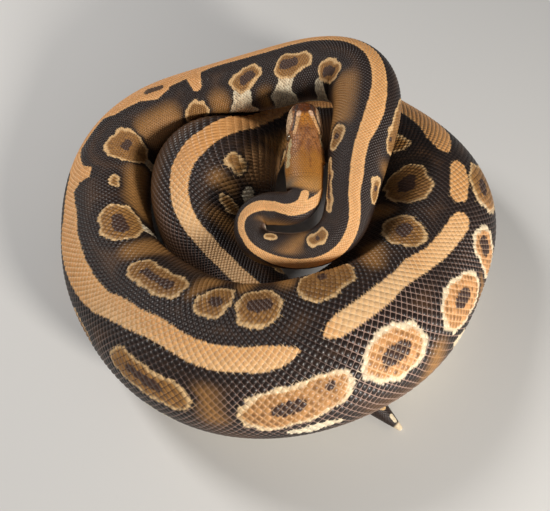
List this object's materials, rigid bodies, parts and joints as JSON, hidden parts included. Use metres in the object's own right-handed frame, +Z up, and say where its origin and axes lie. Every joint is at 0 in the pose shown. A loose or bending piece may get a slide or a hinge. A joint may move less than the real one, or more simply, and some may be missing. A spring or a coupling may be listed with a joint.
{
  "type": "coiled ball python",
  "caption": "Life-size coiled ball python at rest: a stout snake lying in one loose coil, with its head on top and the tail tip under its side.",
  "frame": {"origin": "on the floor under the middle of the coil's outline", "axes": "+Z up, the head points along +Y, +X to the right of someone who looks along the head"},
  "size_m": [0.289, 0.286, 0.1141],
  "materials": {
    "head_skin": "satin plates, caramel brown",
    "body_skin": "glossy scales, near-black brown with tan markings and a cream belly",
    "eye": "clear and glossy, near-black"
  },
  "bodies": {
    "root": {"head": "head_skin", "eye_left": "eye", "eye_right": "eye", "neck": "body_skin", "trunk_1": "body_skin", "trunk_2": "body_skin", "trunk_3": "body_skin", "trunk_4": "body_skin", "trunk_5": "body_skin", "trunk_6": "body_skin", "trunk_7": "body_skin", "trunk_8": "body_skin", "tail": "body_skin"}
  },
  "joints": []
}
